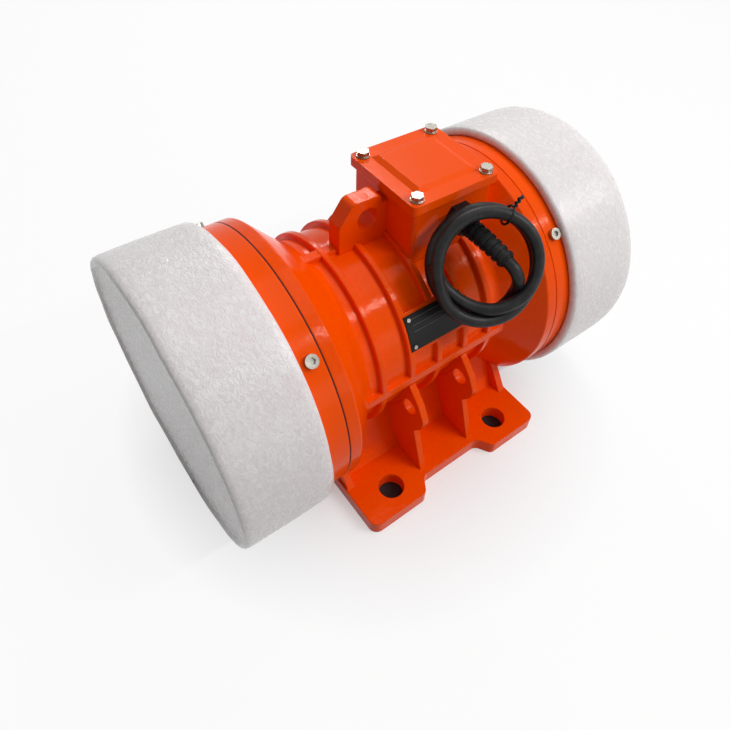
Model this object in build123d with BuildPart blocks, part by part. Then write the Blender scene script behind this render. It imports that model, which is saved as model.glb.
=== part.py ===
from build123d import *
import os
from math import cos, degrees, pi, radians, sin, tan

os.makedirs("parts", exist_ok=True)

# Vibration motor, millimetres. X runs along the shaft, -Y is the side with the cable, and Z is up.
# The origin is the centre of the four foot holes, on the face that bolts down.

# Mounting feet
shaft_height = 112.0
foot_hole_spacing_x = 120.0
foot_hole_spacing_y = 216.0
foot_hole_radius = 11.0
foot_length = 187.0
foot_edge_y = 130.5
foot_inner_y = 62.0
foot_thickness = 13.5
foot_corner_radius = 8.0
notch_edge_y = 116.5
notch_half_length = 31.0
notch_mouth_half_length = 39.5
notch_radius = 8.0
pad_corner_radius = 6.0

# Cast barrel, its ribs and the bells at its ends
barrel_radius = 79.5
barrel_wall = 9.5
rib_height = 4.5
rib_width = 5.5
rib_pitch = 27.0
ribs_each_side = 2
rib_edge_radius = 1.0
bell_foot_x = 66.0
bell_top_x = 94.0
bell_foot_radius = 9.0
flange_radius = 110.0
flange_face_x = 103.6
flange_edge_radius = 2.0
bore_end_x = 70.0
shoulder_bore_x = 80.0
shield_face_x = 91.6
shield_seat_step = 12.0
shoulder_step = 18.0
register_end_x = 118.6
parting_bar_height = 8.0
parting_bar_depth = 5.0
spine_width = 8.0
spine_depth = 4.0
spine_start_x = -74.0
wall_overlap = 4.0

# Skirt, end webs and gussets that tie the feet to the barrel, with angles down from the sides
skirt_top_angle = 43.4
skirt_inner_angle = 54.6
skirt_foot_y = 78.0
end_web_thickness = 7.0
end_web_step = 3.0
end_web_outer_x = 92.0
end_web_foot_y = 90.0
gusset_thickness = 6.0
gusset_foot_y = 110.5
gusset_top_drop = 3.0
gusset_sink = 7.0
gusset_low_angle = 46.0
gusset_high_angle = 24.7
eye_radius = 8.0
eye_reach = 13.2
eye_angle = 19.7
ear_shoulder = 10.5
ear_width = 18.0
ear_width_drop = 3.5
ear_lip = 15.5
ear_lip_drop = 14.0
ear_throat = 8.0
ear_throat_drop = 24.0
ear_radii = (9.0, 7.0, 3.0, 4.0)

# Lifting lug on the spine
lug_thickness = 13.2
lug_left_x = -43.0
lug_right_x = -6.0
lug_top = 119.5
lug_shoulder_x = -31.0
lug_shoulder_height = 103.0
lug_hole_radius = 9.0
lug_hole_x = -18.0
lug_hole_height = 102.5
lug_web_height = 112.0
lug_corner_radius = 6.0
lug_web_radius = 4.0

# Terminal box
box_centre_x = 38.0
box_length = 76.0
box_width = 73.0
box_wall = 6.0
box_top = 116.8
box_floor = 86.0
box_corner_radius = 4.0
box_boss_radius = 8.0
gasket_thickness = 1.5
lid_length = 82.0
lid_width = 79.0
lid_thickness = 7.6
lid_corner_radius = 4.0
lid_recess = 3.5
lid_recess_inset = 9.0
panel_length = 58.0
panel_width = 56.0
panel_height = 2.5
panel_taper = 60.0
lid_screw_inset_x = 5.0
lid_screw_inset_y = 4.2
lid_screw_radius = 2.5
lid_screw_length = 24.0
lid_screw_head_radius = 4.3
lid_screw_head_height = 3.6
lid_washer_radius = 5.2
lid_washer_thickness = 1.0
wire_hole_x = 58.0
wire_hole_radius = 6.0

# Terminal block and its studs
block_x = 30.0
block_length = 44.0
block_width = 24.0
block_height = 9.0
block_rib_width = 1.5
block_rib_height = 4.5
stud_count = 3
stud_pitch = 12.0
stud_radius = 2.0
stud_height = 10.0

# Cable gland and its ribbed bend sleeve
gland_x = 43.0
gland_height = 98.5
gland_thread_radius = 10.0
gland_thread_length = 8.5
gland_hex_radius = 12.0
gland_hex_length = 5.5
gland_nut_radius = 11.0
gland_nut_front_radius = 9.0
gland_nut_length = 8.0
gland_nut_fillet = 3.0
sleeve_radius = 6.0
sleeve_rib_radius = 7.8
sleeve_rib_taper = 0.12
sleeve_rib_length = 2.6
sleeve_ribs = 7
sleeve_end = Vector(45.0, -91.0, 205.0)

# Cable and its coil of two turns, which hangs over the sleeve
cable_radius = 4.75
first_run = 6.0
coil_centre = Vector(37.5, -78.5, 197.5)
coil_normal = Vector(-0.40, -0.74, 0.56).normalized()
coil_radius = 37.5
coil_height = 19.0
coil_thickness = 12.0
coil_corner_radius = 4.7
tie_position = 65.0
tie_width = 2.4
tie_thickness = 1.2
tie_tail_radius = 1.1
tie_tail_length = 8.0

# Stator, in the barrel
core_half_length = 50.0
stator_inner_radius = 42.0
slot_count = 24
slot_width = 6.0
slot_bottom_radius = 46.0
core_back = 9.0
slot_mouth_width = 2.4
winding_end_x = 65.0
slot_liner = 0.2

# Rotor
air_gap = 0.4
shaft_core_radius = 23.0
shaft_shoulder_radius = 22.0
shaft_end_radius = 17.5
cage_bar_count = 16
cage_bar_width = 4.0
cage_bar_inner_radius = 33.0
cage_bar_outer_radius = 40.0
cage_ring_x = 60.0
cage_ring_inner_radius = 29.0
cage_fin_x = 66.0

# Roller bearings
bearing_x = 80.0
bearing_width = 21.0
bearing_outer_radius = 40.0
outer_race_radius = 33.5
inner_race_radius = 23.5
roller_count = 12
roller_length = 13.0
roller_clearance = 0.02
cage_thickness = 3.8
cage_clearance = 0.3

# Bearing shields and outer caps
shield_thickness = 10.0
shield_spigot_x = 84.0
shield_hub_x = 74.0
shield_hub_wall = 12.0
shield_hub_step = 4.0
shield_boss_wall = 18.0
shield_boss_x = 104.0
shaft_running_gap = 2.0
shield_bolt_count = 6
shield_bolt_radius = 4.0
shield_bolt_length = 20.0
shield_bolt_head_radius = 6.5
shield_bolt_head_height = 5.3
cap_thickness = 7.0
cap_lip_step = 1.0
cap_bore_radius = 26.0
cap_bolt_count = 4
cap_bolt_radius = 3.0
cap_bolt_length = 16.0
cap_bolt_head_radius = 5.0
cap_bolt_head_height = 4.0
spacer_radius = 24.0

# Eccentric weights
weight_swing_gap = 20.0
weight_hub_radius = 31.0
weight_spacer_wall = 9.5
weight_flat_drop = 8.0
fixed_weight_x = 118.0
fixed_weight_thickness = 22.0
weight_spacer_length = 2.0
adjustable_weight_thickness = 20.0
weight_tip_radius = 6.0
clamp_width = 44.0
clamp_height = 42.0
clamp_slot = 3.0
clamp_bolt_radius = 5.0
clamp_bolt_height = 31.0
clamp_head_radius = 8.0
clamp_head_height = 6.4
key_width = 10.0
key_depth = 5.0
key_height = 8.0
key_length = 18.0
end_washer_radius = 26.0
end_washer_thickness = 5.0
end_bolt_radius = 5.0
end_bolt_length = 25.0
end_bolt_head_radius = 8.0
end_bolt_head_height = 6.4

# Weight covers
cover_wall = 2.0
cover_end_gap = 8.5
cover_corner_radius = 7.0
cover_seal_width = 1.0
cover_seal_height = 1.6
cover_screw_x = 113.0
cover_screw_count = 4
cover_screw_start = 45
cover_screw_radius = 3.0
cover_screw_length = 10.0
cover_screw_head_radius = 4.8
cover_screw_head_height = 3.6
cover_socket_radius = 2.3
cover_socket_depth = 1.8

# Nameplate, left blank
plate_half_length = 27.0
plate_low_angle = 19.9
plate_high_angle = 39.6
plate_margin_angle = 2.0
plate_thickness = 0.8
plate_corner_inset = 3.4
rivet_radius = 1.6
rivet_shank_radius = 1.0
rivet_height = 1.0
rivet_depth = 3.0

# Foam sleeves over the weight covers
foam_clearance = 0.4
foam_thickness = 7.0
foam_floor_gap = 0.5
foam_left_start = 121.5
foam_left_rim = 2.6
foam_left_disc = 4.0
foam_right_start = 118.8
foam_right_disc = 15.6
foam_edge_radius = 5.0

# Fits
press_clearance = 0.0
locating_clearance = 0.05
thread_clearance = 0.03
sliding_clearance = 0.02
bolt_clearance = 0.4
weight_gap = 0.1
tie_clearance = 0.1

# Sizes that follow from the ones above
bore_radius = barrel_radius - barrel_wall
wall_radius = barrel_radius - wall_overlap
rib_radius = barrel_radius + rib_height
parting_bar_reach = barrel_radius + parting_bar_depth
plate_radius = rib_radius + sliding_clearance
register_radius = flange_radius - cover_wall - locating_clearance
cover_inner_radius = flange_radius - cover_wall
shield_seat_radius = flange_radius - shield_seat_step
shoulder_bore_radius = shield_seat_radius - shoulder_step
shield_bolt_circle = (shield_seat_radius + shoulder_bore_radius) / 2
shield_hub_radius = bearing_outer_radius + shield_hub_wall
shield_boss_radius = bearing_outer_radius + shield_boss_wall
cap_bolt_circle = (bearing_outer_radius + shield_boss_radius) / 2
slot_top_radius = bore_radius - core_back
weight_radius = cover_inner_radius - weight_swing_gap
adjustable_weight_x = fixed_weight_x + fixed_weight_thickness + weight_spacer_length
shaft_end_x = adjustable_weight_x + adjustable_weight_thickness + weight_gap
end_bolt_tip_x = shaft_end_x + end_washer_thickness + end_bolt_head_height
cover_end_x = end_bolt_tip_x + cover_end_gap + cover_wall
foam_start_x = cover_end_x + foam_clearance
foam_left_end = foam_start_x + foam_left_disc + foam_left_rim
foam_right_end = foam_start_x + foam_right_disc
foam_radius = flange_radius + foam_clearance + foam_thickness
lid_screw_spacing_x = box_length - 2 * lid_screw_inset_x
lid_screw_spacing_y = box_width - 2 * lid_screw_inset_y
eye_y = (barrel_radius + eye_reach) * cos(radians(eye_angle))
eye_drop = (barrel_radius + eye_reach) * sin(radians(eye_angle))
roller_pitch_radius = (outer_race_radius + inner_race_radius) / 2
roller_radius = (outer_race_radius - inner_race_radius) / 2 - roller_clearance
shield_bolt_face_x = shield_face_x + shield_thickness
cap_face_x = shield_boss_x + cap_thickness
lid_bottom = box_top + gasket_thickness
lid_top = lid_bottom + lid_thickness

shaft_axis = Axis((0, 0, shaft_height), (1, 0, 0))
shaft_centre = (0, shaft_height)
box_centre = (box_centre_x, 0)


def turned(outline, axis=shaft_axis):
    """A solid of revolution about the shaft axis from points of (x, radius)."""
    with BuildPart() as piece:
        with BuildSketch(Plane.XZ):
            with BuildLine():
                Polyline(*[(x, shaft_height + radius) for x, radius in outline], close=True)
            make_face()
        revolve(axis=axis)
    return piece


def mirrored(piece):
    """The same piece at the other end of the motor."""
    with BuildPart() as other_end:
        mirror(piece.part, about=Plane.YZ)
    return other_end


def end_plane(x):
    """A plane across the shaft axis at x, with its origin on the axis."""
    return Plane(origin=(x, 0, shaft_height), x_dir=(0, 1, 0), z_dir=(1, 0, 0))


def bolt_group(seats, head_radius, head_height, shank_radius, shank_length):
    """Hexagon bolts whose heads stand on the seat planes."""
    with BuildPart() as bolts:
        with BuildSketch(*seats):
            RegularPolygon(head_radius, 6, major_radius=False)
        extrude(amount=head_height)
        with BuildSketch(*seats):
            Circle(shank_radius)
        extrude(amount=-shank_length)
    return bolts


def arc_band(inner_radius, outer_radius, low_angle, high_angle):
    """A curved band in the plane across the shaft, with angles measured up from the front."""
    def point(radius, angle):
        return (-radius * cos(radians(angle)), radius * sin(radians(angle)))
    middle = (low_angle + high_angle) / 2
    with BuildSketch(mode=Mode.PRIVATE) as band:
        with BuildLine():
            inner = ThreePointArc(
                point(inner_radius, low_angle),
                point(inner_radius, middle),
                point(inner_radius, high_angle),
            )
            outer = ThreePointArc(
                point(outer_radius, low_angle),
                point(outer_radius, middle),
                point(outer_radius, high_angle),
            )
            Line(inner @ 0, outer @ 0)
            Line(inner @ 1, outer @ 1)
        make_face()
    return band.sketch


def low_point(side, radius, angle):
    """A point (y, z) on one side of the shaft, at an angle down from it."""
    return (side * radius * cos(radians(angle)), shaft_height - radius * sin(radians(angle)))


def ring_positions(count, radius, start=0.0):
    """Points (y, z) spaced evenly round the shaft axis."""
    angles = [start + 360 * number / count for number in range(count)]
    return [(radius * cos(radians(angle)), radius * sin(radians(angle))) for angle in angles]


def screw_planes(x, radius):
    """Planes for the cover screws on a cylinder about the shaft, each facing outwards."""
    planes = []
    for number in range(cover_screw_count):
        angle = radians(cover_screw_start + 360 * number / cover_screw_count)
        outwards = Vector(0, cos(angle), sin(angle))
        centre = Vector(x, 0, shaft_height) + outwards * radius
        planes.append(Plane(origin=centre, x_dir=(1, 0, 0), z_dir=outwards))
    return planes


# Where the rivets of the nameplate stand
inset_angle = degrees(plate_corner_inset / plate_radius)
inset_x = plate_half_length - plate_corner_inset
rivet_seats = []
for x in (-inset_x, inset_x):
    for angle in (plate_low_angle + inset_angle, plate_high_angle - inset_angle):
        outwards = Vector(0, -cos(radians(angle)), sin(radians(angle)))
        seat = Vector(x, 0, shaft_height) + outwards * (plate_radius + plate_thickness)
        rivet_seats.append(Plane(origin=seat, x_dir=(1, 0, 0), z_dir=outwards))

# The casting is one piece. It stands in four nodes that meet face to face: housing, feet, lug and box.
# First the solid outside of the housing: barrel, bells and ribs, before the bore is cut
with BuildPart() as barrel_outside:
    with BuildSketch(Plane.XZ):
        with BuildLine():
            FilletPolyline(
                (0, shaft_height),
                (0, shaft_height + barrel_radius),
                (bell_foot_x, shaft_height + barrel_radius),
                (bell_top_x, shaft_height + flange_radius),
                (flange_face_x, shaft_height + flange_radius),
                (flange_face_x, shaft_height + register_radius),
                (register_end_x, shaft_height + register_radius),
                (register_end_x, shaft_height),
                radius=[0, 0, bell_foot_radius, flange_edge_radius, 0, 0, 0, 0],
                close=True,
            )
        make_face()
        mirror(about=Plane.YZ)
    revolve(axis=shaft_axis)
    rib_numbers = range(-ribs_each_side, ribs_each_side + 1)
    with BuildSketch(Plane.XZ) as rib_sections:
        with Locations(*[(rib_pitch * number, shaft_height + rib_radius) for number in rib_numbers]):
            Rectangle(rib_width, rib_height + wall_overlap, align=(Align.CENTER, Align.MAX))
        crowns = rib_sections.vertices().group_by(Axis.Y)[-1]
        fillet(crowns, rib_edge_radius)
    revolve(axis=shaft_axis)

    # Bars along the two sides at the parting line, and the spine on top
    for side in (-1, 1):
        with BuildSketch(Plane.XZ.offset(side * wall_radius)):
            with Locations(shaft_centre):
                Rectangle(2 * (bell_foot_x + rib_width), parting_bar_height)
        extrude(amount=side * (parting_bar_depth + wall_overlap))
    with BuildSketch(Plane.XY.offset(shaft_height + wall_radius)):
        with Locations((spine_start_x, 0)):
            Rectangle(lug_left_x - spine_start_x, spine_width, align=(Align.MIN, Align.CENTER))
    extrude(amount=spine_depth + wall_overlap)

    # Pad between the ribs that carries the nameplate
    with BuildSketch(end_plane(-plate_half_length)):
        add(
            arc_band(
                wall_radius,
                rib_radius,
                plate_low_angle - plate_margin_angle,
                plate_high_angle + plate_margin_angle,
            )
        )
    extrude(amount=2 * plate_half_length)

# Feet with their notches, skirts, end webs and gussets
with BuildPart() as mounting_feet:
    with BuildSketch(Plane.XY):
        with BuildLine():
            FilletPolyline(
                (-foot_length / 2, -foot_inner_y),
                (-foot_length / 2, -foot_edge_y),
                (-notch_mouth_half_length, -foot_edge_y),
                (-notch_half_length, -notch_edge_y),
                (notch_half_length, -notch_edge_y),
                (notch_mouth_half_length, -foot_edge_y),
                (foot_length / 2, -foot_edge_y),
                (foot_length / 2, -foot_inner_y),
                radius=[
                    0,
                    foot_corner_radius,
                    pad_corner_radius,
                    notch_radius,
                    notch_radius,
                    pad_corner_radius,
                    foot_corner_radius,
                    0,
                ],
                close=True,
            )
        make_face()
        mirror(about=Plane.XZ)
    extrude(amount=foot_thickness)
    web_centre_x = end_web_outer_x - end_web_thickness / 2
    web_planes = [
        Plane.YZ.offset(-end_web_outer_x),
        Plane.YZ.offset(end_web_outer_x - end_web_thickness),
    ]
    gusset_planes = [
        Plane.YZ.offset(-rib_pitch - gusset_thickness / 2),
        Plane.YZ.offset(rib_pitch - gusset_thickness / 2),
    ]
    bar_bottom = shaft_height - parting_bar_height / 2
    eye_z = shaft_height - eye_drop
    for side in (-1, 1):
        skirt_top_y, skirt_top_z = low_point(side, wall_radius, skirt_top_angle)
        skirt_inner = low_point(side, wall_radius, skirt_inner_angle)
        with BuildSketch(Plane.YZ.offset(-web_centre_x)):
            with BuildLine():
                Polyline(
                    (skirt_top_y, skirt_top_z),
                    (side * skirt_foot_y, foot_thickness),
                    (side * skirt_foot_y, foot_thickness / 2),
                    (side * foot_inner_y, foot_thickness / 2),
                    skirt_inner,
                    close=True,
                )
            make_face()
        extrude(amount=2 * web_centre_x)

        # End webs below the bells
        with BuildSketch(*web_planes):
            with BuildLine():
                Polyline(
                    (skirt_top_y - side * end_web_step, skirt_top_z + wall_overlap),
                    (skirt_top_y + side * end_web_step, skirt_top_z),
                    (side * end_web_foot_y, foot_thickness),
                    (side * end_web_foot_y, foot_thickness / 2),
                    (side * foot_inner_y, foot_thickness / 2),
                    skirt_inner,
                    close=True,
                )
            make_face()
        extrude(amount=end_web_thickness)

        # Gussets under the ribs, each with a round ear and an eye
        with BuildSketch(*gusset_planes):
            with BuildLine():
                FilletPolyline(
                    (side * wall_radius, bar_bottom),
                    (side * parting_bar_reach, bar_bottom - gusset_top_drop),
                    (side * (eye_y + ear_shoulder), eye_z + ear_shoulder),
                    (side * (eye_y + ear_width), eye_z - ear_width_drop),
                    (side * (eye_y + ear_lip), eye_z - ear_lip_drop),
                    (side * (eye_y + ear_throat), eye_z - ear_throat_drop),
                    (side * gusset_foot_y, foot_thickness),
                    (side * gusset_foot_y, foot_thickness / 2),
                    (side * (foot_inner_y + wall_overlap), foot_thickness / 2),
                    low_point(side, barrel_radius - gusset_sink, gusset_low_angle),
                    low_point(side, barrel_radius - gusset_sink, gusset_high_angle),
                    radius=[0, 0, *ear_radii, 0, 0, 0, 0, 0],
                    close=True,
                )
            make_face()
            with Locations((side * eye_y, eye_z)):
                Circle(eye_radius, mode=Mode.SUBTRACT)
        extrude(amount=gusset_thickness)
    add(barrel_outside.part, mode=Mode.SUBTRACT)
    with BuildSketch(Plane.XY):
        with GridLocations(foot_hole_spacing_x, foot_hole_spacing_y, 2, 2):
            Circle(foot_hole_radius)
    extrude(amount=foot_thickness, mode=Mode.SUBTRACT)

# Terminal box on top of the barrel, with tapped holes for the lid and the gland
with BuildPart() as terminal_box:
    with BuildSketch(Plane.XY.offset(shaft_height)):
        with Locations(box_centre):
            RectangleRounded(box_length, box_width, box_corner_radius)
    extrude(amount=box_top)
    add(barrel_outside.part, mode=Mode.SUBTRACT)
    with BuildSketch(Plane.XY.offset(shaft_height + box_floor)):
        with Locations(box_centre):
            Rectangle(box_length - 2 * box_wall, box_width - 2 * box_wall)
            with GridLocations(lid_screw_spacing_x, lid_screw_spacing_y, 2, 2):
                Circle(box_boss_radius, mode=Mode.SUBTRACT)
    extrude(amount=box_top - box_floor, mode=Mode.SUBTRACT)
    with BuildSketch(Plane.XY.offset(shaft_height + box_top)):
        with Locations(box_centre):
            with GridLocations(lid_screw_spacing_x, lid_screw_spacing_y, 2, 2):
                Circle(lid_screw_radius + thread_clearance)
    extrude(amount=-(lid_screw_length - lid_thickness), mode=Mode.SUBTRACT)
    with BuildSketch(Plane.XZ.offset(box_width / 2)):
        with Locations((gland_x, shaft_height + gland_height)):
            Circle(gland_thread_radius + thread_clearance)
    extrude(amount=-box_wall, mode=Mode.SUBTRACT)
    with BuildSketch(Plane.XY.offset(shaft_height + box_floor)):
        with Locations((wire_hole_x, 0)):
            Circle(wire_hole_radius)
    extrude(amount=-box_floor, mode=Mode.SUBTRACT)

# Lifting lug between the spine and the box
box_face_x = box_centre_x - box_length / 2
with BuildPart() as lifting_lug:
    with BuildSketch(Plane.XZ):
        with BuildLine():
            FilletPolyline(
                (lug_left_x, shaft_height + wall_radius),
                (lug_left_x, shaft_height + lug_shoulder_height),
                (lug_shoulder_x, shaft_height + lug_top),
                (lug_right_x, shaft_height + lug_top),
                (lug_right_x, shaft_height + lug_web_height),
                (box_face_x, shaft_height + lug_web_height),
                (box_face_x, shaft_height + wall_radius),
                radius=[0, lug_corner_radius, lug_corner_radius, lug_web_radius, 0, 0, 0],
                close=True,
            )
        make_face()
        with Locations((lug_hole_x, shaft_height + lug_hole_height)):
            Circle(lug_hole_radius, mode=Mode.SUBTRACT)
    extrude(amount=lug_thickness / 2, both=True)
    add(barrel_outside.part, mode=Mode.SUBTRACT)

# Housing: the outside with its bore, stepped for the bearing shields and the weights
with BuildPart() as housing:
    add(barrel_outside.part)
    with BuildSketch(Plane.XZ):
        with BuildLine():
            Polyline(
                (0, shaft_height),
                (0, shaft_height + bore_radius),
                (bore_end_x, shaft_height + bore_radius),
                (shoulder_bore_x, shaft_height + shoulder_bore_radius),
                (shield_face_x, shaft_height + shoulder_bore_radius),
                (shield_face_x, shaft_height + shield_seat_radius),
                (register_end_x, shaft_height + shield_seat_radius),
                (register_end_x, shaft_height),
                close=True,
            )
        make_face()
        mirror(about=Plane.YZ)
    revolve(axis=shaft_axis, mode=Mode.SUBTRACT)

    # Tapped holes for the shields, covers and nameplate, and the hole for the supply wires
    shield_hole_depth = shield_bolt_length - shield_thickness + 1
    for end in (-1, 1):
        with BuildSketch(end_plane(end * shield_face_x)):
            with Locations(*ring_positions(shield_bolt_count, shield_bolt_circle)):
                Circle(shield_bolt_radius + thread_clearance)
        extrude(amount=-end * shield_hole_depth, mode=Mode.SUBTRACT)
        with BuildSketch(*screw_planes(end * cover_screw_x, register_radius + 1)):
            Circle(cover_screw_radius + thread_clearance)
        extrude(amount=-cover_screw_length, mode=Mode.SUBTRACT)
    with BuildSketch(Plane.XY.offset(shaft_height)):
        with Locations((wire_hole_x, 0)):
            Circle(wire_hole_radius)
    extrude(amount=box_floor, mode=Mode.SUBTRACT)
    with BuildSketch(*rivet_seats):
        Circle(rivet_shank_radius)
    extrude(amount=-rivet_depth, mode=Mode.SUBTRACT)

# Stator core with open slots, pressed into the barrel
with BuildPart() as stator_core:
    with BuildSketch(end_plane(-core_half_length)):
        Circle(bore_radius - press_clearance)
        Circle(stator_inner_radius, mode=Mode.SUBTRACT)
        with PolarLocations(slot_bottom_radius, slot_count):
            Rectangle(
                slot_top_radius - slot_bottom_radius,
                slot_width,
                align=(Align.MIN, Align.CENTER),
                mode=Mode.SUBTRACT,
            )
        with PolarLocations(stator_inner_radius - 1, slot_count):
            Rectangle(
                slot_bottom_radius - stator_inner_radius + 2,
                slot_mouth_width,
                align=(Align.MIN, Align.CENTER),
                mode=Mode.SUBTRACT,
            )
    extrude(amount=2 * core_half_length)

# Winding: bars in the slots and the bound turns at both ends
with BuildPart() as stator_winding:
    with BuildSketch(end_plane(-core_half_length)):
        with PolarLocations(slot_bottom_radius + slot_liner, slot_count):
            Rectangle(
                slot_top_radius - slot_bottom_radius - 2 * slot_liner,
                slot_width - 2 * slot_liner,
                align=(Align.MIN, Align.CENTER),
            )
    extrude(amount=2 * core_half_length)
    for end_x in (-winding_end_x, core_half_length):
        with BuildSketch(end_plane(end_x)):
            Circle(slot_top_radius)
            Circle(slot_bottom_radius, mode=Mode.SUBTRACT)
        extrude(amount=winding_end_x - core_half_length)

# Rotor core and its cast cage
rotor_radius = stator_inner_radius - air_gap
with BuildPart() as rotor_core:
    with BuildSketch(end_plane(-core_half_length)):
        Circle(rotor_radius)
        Circle(shaft_core_radius, mode=Mode.SUBTRACT)
        with PolarLocations(cage_bar_inner_radius, cage_bar_count):
            Rectangle(
                cage_bar_outer_radius - cage_bar_inner_radius,
                cage_bar_width,
                align=(Align.MIN, Align.CENTER),
                mode=Mode.SUBTRACT,
            )
    extrude(amount=2 * core_half_length)

with BuildPart() as rotor_cage:
    with BuildSketch(end_plane(-cage_ring_x)):
        with PolarLocations(cage_bar_inner_radius, cage_bar_count):
            Rectangle(
                cage_bar_outer_radius - cage_bar_inner_radius,
                cage_bar_width,
                align=(Align.MIN, Align.CENTER),
            )
    extrude(amount=2 * cage_ring_x)
    for end_x in (-cage_ring_x, core_half_length):
        with BuildSketch(end_plane(end_x)):
            Circle(cage_bar_outer_radius)
            Circle(cage_ring_inner_radius, mode=Mode.SUBTRACT)
        extrude(amount=cage_ring_x - core_half_length)
    for end_x in (-cage_fin_x, cage_ring_x):
        with BuildSketch(end_plane(end_x)):
            with PolarLocations(cage_bar_inner_radius, cage_bar_count // 2):
                Rectangle(
                    cage_bar_outer_radius - cage_bar_inner_radius,
                    cage_bar_width / 2,
                    align=(Align.MIN, Align.CENTER),
                )
        extrude(amount=cage_fin_x - cage_ring_x)

# Shaft with keyways for the fixed weights and a tapped hole in each end
key_x = fixed_weight_x + fixed_weight_thickness / 2
with BuildPart() as shaft:
    with BuildSketch(Plane.XZ):
        with BuildLine():
            Polyline(
                (0, shaft_height),
                (0, shaft_height + shaft_core_radius),
                (core_half_length, shaft_height + shaft_core_radius),
                (core_half_length, shaft_height + shaft_shoulder_radius),
                (bearing_x, shaft_height + shaft_shoulder_radius),
                (bearing_x, shaft_height + shaft_end_radius),
                (shaft_end_x, shaft_height + shaft_end_radius),
                (shaft_end_x, shaft_height),
                close=True,
            )
        make_face()
        mirror(about=Plane.YZ)
    revolve(axis=shaft_axis)
    for end in (-1, 1):
        with BuildSketch(Plane.XY.offset(shaft_height - shaft_end_radius - 1)):
            with Locations((end * key_x, 0)):
                Rectangle(key_length, key_width)
        extrude(amount=key_depth + 1, mode=Mode.SUBTRACT)
        with BuildSketch(end_plane(end * shaft_end_x)):
            Circle(end_bolt_radius + thread_clearance)
        extrude(amount=-end * (end_bolt_length - end_washer_thickness + 2), mode=Mode.SUBTRACT)

with BuildPart() as shaft_keys:
    with BuildSketch(Plane.XY.offset(shaft_height - shaft_end_radius + key_depth)):
        with Locations((-key_x, 0), (key_x, 0)):
            Rectangle(key_length, key_width)
    extrude(amount=-key_height)

# Roller bearing at the right-hand end
bearing_end_x = bearing_x + bearing_width
bearing_outer_right = turned(
    [
        (bearing_x, outer_race_radius),
        (bearing_x, bearing_outer_radius - sliding_clearance),
        (bearing_end_x, bearing_outer_radius - sliding_clearance),
        (bearing_end_x, outer_race_radius),
    ]
)
bearing_inner_right = turned(
    [
        (bearing_x, shaft_end_radius),
        (bearing_x, inner_race_radius),
        (bearing_end_x, inner_race_radius),
        (bearing_end_x, shaft_end_radius),
    ]
)
roller_x = bearing_x + (bearing_width - roller_length) / 2
with BuildPart() as rollers_right:
    with BuildSketch(end_plane(roller_x)):
        with PolarLocations(roller_pitch_radius, roller_count):
            Circle(roller_radius)
    extrude(amount=roller_length)
with BuildPart() as roller_cage_right:
    with BuildSketch(end_plane(bearing_x + 1)):
        Circle(roller_pitch_radius + cage_thickness / 2)
        Circle(roller_pitch_radius - cage_thickness / 2, mode=Mode.SUBTRACT)
    extrude(amount=bearing_width - 2)
    with BuildSketch(end_plane(roller_x - cage_clearance)):
        with PolarLocations(roller_pitch_radius, roller_count):
            Circle(roller_radius + cage_clearance)
    extrude(amount=roller_length + 2 * cage_clearance, mode=Mode.SUBTRACT)

# Bearing shield, its bolts and the outer bearing cap
with BuildPart() as end_shield_right:
    add(
        turned(
            [
                (shield_hub_x, shaft_shoulder_radius + shaft_running_gap),
                (shield_hub_x, shield_hub_radius),
                (shield_spigot_x, shield_hub_radius + shield_hub_step),
                (shield_spigot_x, shoulder_bore_radius - locating_clearance),
                (shield_face_x, shoulder_bore_radius - locating_clearance),
                (shield_face_x, shield_seat_radius - locating_clearance),
                (shield_bolt_face_x, shield_seat_radius - locating_clearance),
                (shield_bolt_face_x, shield_boss_radius),
                (shield_boss_x, shield_boss_radius),
                (shield_boss_x, bearing_outer_radius),
                (bearing_x, bearing_outer_radius),
                (bearing_x, shaft_shoulder_radius + shaft_running_gap),
            ]
        ).part
    )
    with BuildSketch(end_plane(shield_bolt_face_x)):
        with Locations(*ring_positions(shield_bolt_count, shield_bolt_circle)):
            Circle(shield_bolt_radius + bolt_clearance)
    extrude(amount=-shield_thickness, mode=Mode.SUBTRACT)
    with BuildSketch(end_plane(shield_boss_x)):
        with Locations(*ring_positions(cap_bolt_count, cap_bolt_circle, start=45)):
            Circle(cap_bolt_radius + thread_clearance)
    extrude(amount=-(cap_bolt_length - cap_thickness + 1), mode=Mode.SUBTRACT)

shield_bolt_seats = [
    Plane(origin=(shield_bolt_face_x, y, shaft_height + z), x_dir=(0, 1, 0), z_dir=(1, 0, 0))
    for y, z in ring_positions(shield_bolt_count, shield_bolt_circle)
]
shield_bolts_right = bolt_group(
    shield_bolt_seats,
    shield_bolt_head_radius,
    shield_bolt_head_height,
    shield_bolt_radius,
    shield_bolt_length,
)

with BuildPart() as bearing_cap_right:
    add(
        turned(
            [
                (bearing_end_x, outer_race_radius + cap_lip_step),
                (bearing_end_x, bearing_outer_radius - locating_clearance),
                (shield_boss_x, bearing_outer_radius - locating_clearance),
                (shield_boss_x, shield_boss_radius),
                (cap_face_x, shield_boss_radius),
                (cap_face_x, cap_bore_radius),
                (shield_boss_x, cap_bore_radius),
                (shield_boss_x, outer_race_radius + cap_lip_step),
            ]
        ).part
    )
    with BuildSketch(end_plane(cap_face_x)):
        with Locations(*ring_positions(cap_bolt_count, cap_bolt_circle, start=45)):
            Circle(cap_bolt_radius + bolt_clearance)
    extrude(amount=-cap_thickness, mode=Mode.SUBTRACT)

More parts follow.
